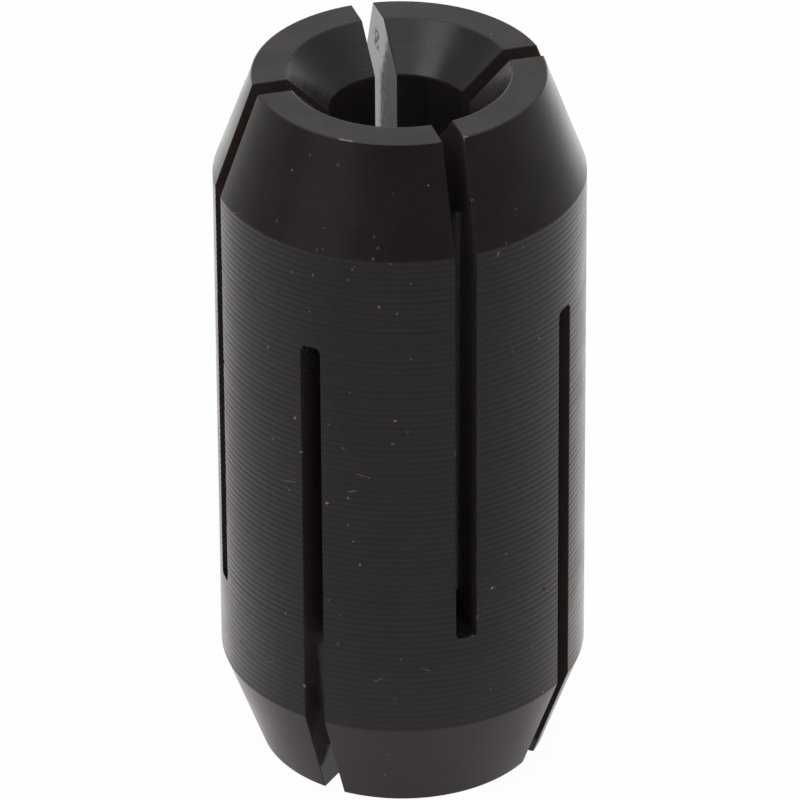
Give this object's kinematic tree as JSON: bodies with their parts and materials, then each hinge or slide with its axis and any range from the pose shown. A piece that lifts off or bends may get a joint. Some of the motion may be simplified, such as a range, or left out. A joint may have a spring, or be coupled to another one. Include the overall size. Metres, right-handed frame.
{
  "type": "collet cone",
  "caption": "Slotted double-taper steel collet cone that a nut squeezes onto a cutter shank, with alternating slits from both ends and a countersunk bore.",
  "frame": {"origin": "centre of the lower end face, on the bore's axis", "axes": "+Z along the bore towards the upper end, with the upper pair of slits along X and Y and the lower pair halfway between them"},
  "size_m": [0.017, 0.017, 0.035],
  "materials": {
    "black_oxide_steel": "hardened spring steel, black-oxide finish over fine turning ridges"
  },
  "bodies": {
    "root": {"collet_cone": "black_oxide_steel"}
  },
  "joints": []
}
